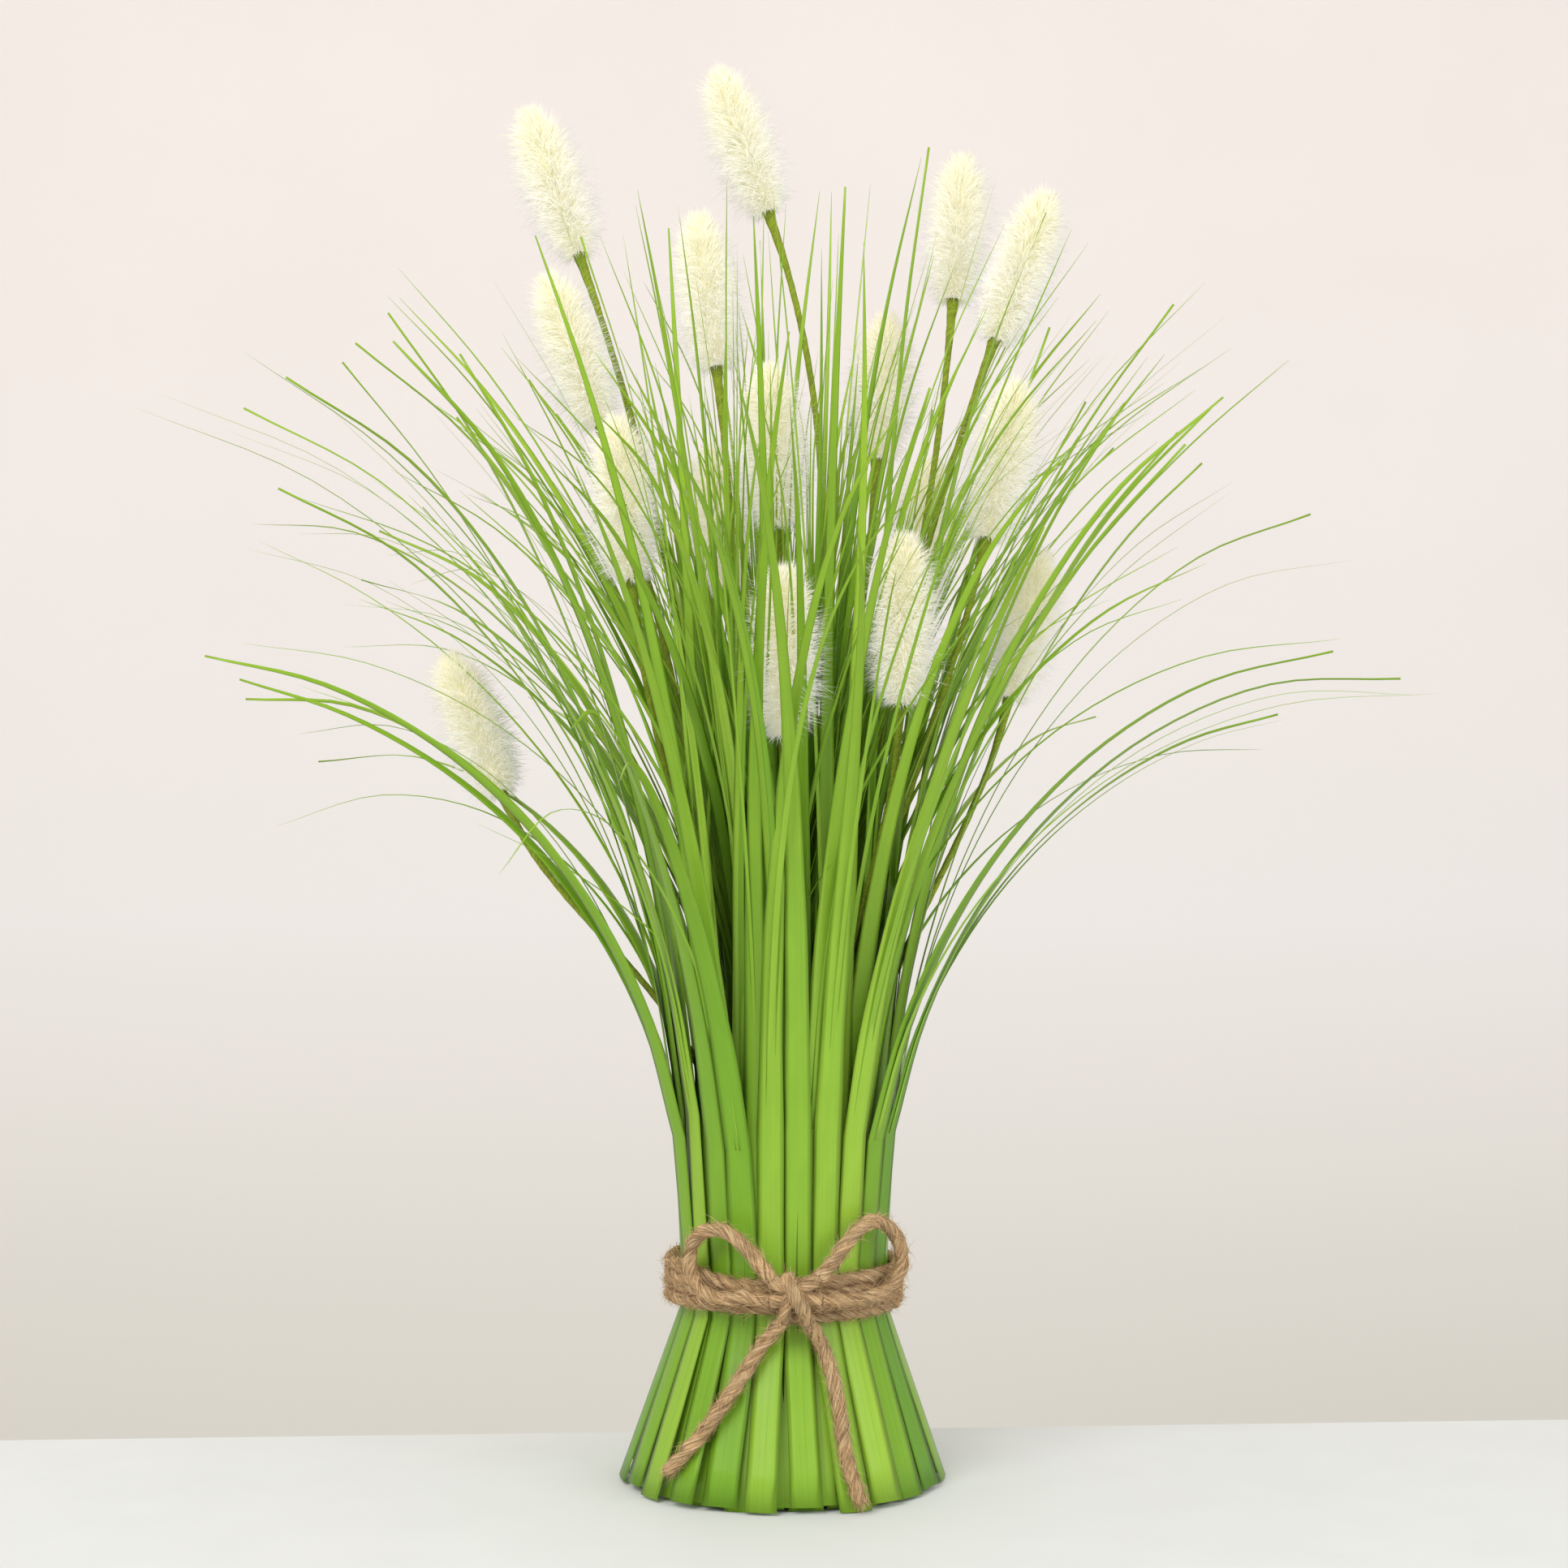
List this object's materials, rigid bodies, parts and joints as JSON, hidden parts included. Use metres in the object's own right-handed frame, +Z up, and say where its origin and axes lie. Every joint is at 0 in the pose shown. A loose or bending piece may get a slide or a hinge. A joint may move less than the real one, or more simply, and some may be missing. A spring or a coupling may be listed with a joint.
{
  "type": "pampas grass bundle",
  "caption": "Free-standing bundle of artificial pampas grass: green strap blades tied with a jute bow over a flared foot, with cream foxtail plumes on wrapped stems.",
  "frame": {"origin": "centre of the foot, on the surface that the bundle stands on", "axes": "+Z up along the bundle, -Y towards the front, where the bow is, +X to the right as seen from the front"},
  "size_m": [0.4325, 0.4331, 0.542],
  "materials": {
    "strap_blades": "satin",
    "fine_blades": "satin",
    "stem_wrap": "matte",
    "plume_fibre": "fibrous",
    "jute": "fibrous",
    "foam": "matte"
  },
  "bodies": {
    "root": {"twine_wraps": "jute", "twine_knot": "jute", "bow_loop_left": "jute", "bow_loop_right": "jute", "twine_tail_left": "jute", "twine_tail_right": "jute", "foam_core": "foam", "outer_tuft_01": "strap_blades", "outer_tuft_02": "strap_blades", "outer_tuft_03": "strap_blades", "outer_tuft_04": "strap_blades", "outer_tuft_05": "strap_blades", "outer_tuft_06": "strap_blades", "outer_tuft_07": "strap_blades", "outer_tuft_08": "strap_blades", "outer_tuft_09": "strap_blades", "outer_tuft_10": "strap_blades", "outer_tuft_11": "strap_blades", "outer_tuft_12": "strap_blades", "inner_bush_01": "fine_blades", "inner_bush_02": "fine_blades", "inner_bush_03": "fine_blades", "inner_bush_04": "fine_blades", "inner_bush_05": "fine_blades", "inner_bush_06": "fine_blades", "inner_bush_07": "fine_blades", "inner_bush_08": "fine_blades", "plume_stem_01": "stem_wrap", "plume_head_01": "plume_fibre", "plume_stem_02": "stem_wrap", "plume_head_02": "plume_fibre", "plume_stem_03": "stem_wrap", "plume_head_03": "plume_fibre", "plume_stem_04": "stem_wrap", "plume_head_04": "plume_fibre", "plume_stem_05": "stem_wrap", "plume_head_05": "plume_fibre", "plume_stem_06": "stem_wrap", "plume_head_06": "plume_fibre", "plume_stem_07": "stem_wrap", "plume_head_07": "plume_fibre", "plume_stem_08": "stem_wrap", "plume_head_08": "plume_fibre", "plume_stem_09": "stem_wrap", "plume_head_09": "plume_fibre", "plume_stem_10": "stem_wrap", "plume_head_10": "plume_fibre", "plume_stem_11": "stem_wrap", "plume_head_11": "plume_fibre", "plume_stem_12": "stem_wrap", "plume_head_12": "plume_fibre", "plume_stem_13": "stem_wrap", "plume_head_13": "plume_fibre", "plume_stem_14": "stem_wrap", "plume_head_14": "plume_fibre", "plume_stem_15": "stem_wrap", "plume_head_15": "plume_fibre", "plume_stem_16": "stem_wrap", "plume_head_16": "plume_fibre"}
  },
  "joints": []
}
